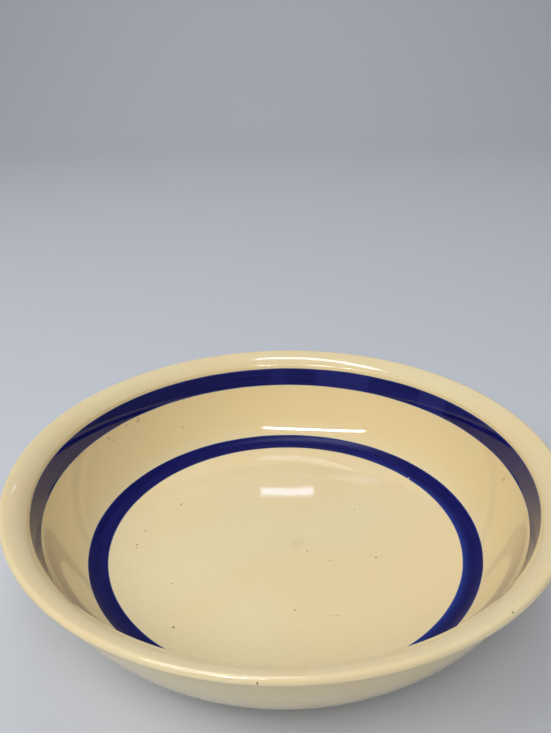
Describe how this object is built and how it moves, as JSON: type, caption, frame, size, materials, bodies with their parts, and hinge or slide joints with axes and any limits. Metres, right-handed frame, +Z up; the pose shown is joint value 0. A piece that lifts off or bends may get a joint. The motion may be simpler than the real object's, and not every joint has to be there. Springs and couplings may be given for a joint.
{
  "type": "pasta serving bowl",
  "caption": "Wide shallow glazed pottery serving bowl with a flared round rim, a coved flat floor, a foot ring and blue bands inside.",
  "frame": {"origin": "centre of the foot ring, on the surface that the bowl stands on", "axes": "+Z up along the bowl's axis, out of its mouth; X and Y level, and alike because the bowl is round"},
  "size_m": [0.33, 0.33, 0.075],
  "materials": {
    "clay": "bare fired clay, matt and slightly rough",
    "cream_glaze": "smooth glossy cream glaze with fine iron specks",
    "blue_band": "dark cobalt blue, brushed on by hand, glossy under the glaze"
  },
  "bodies": {
    "root": {"clay_body": "clay", "inside_glaze": "cream_glaze", "outside_glaze": "cream_glaze", "base_glaze": "cream_glaze", "upper_band": "blue_band", "lower_band": "blue_band"}
  },
  "joints": []
}
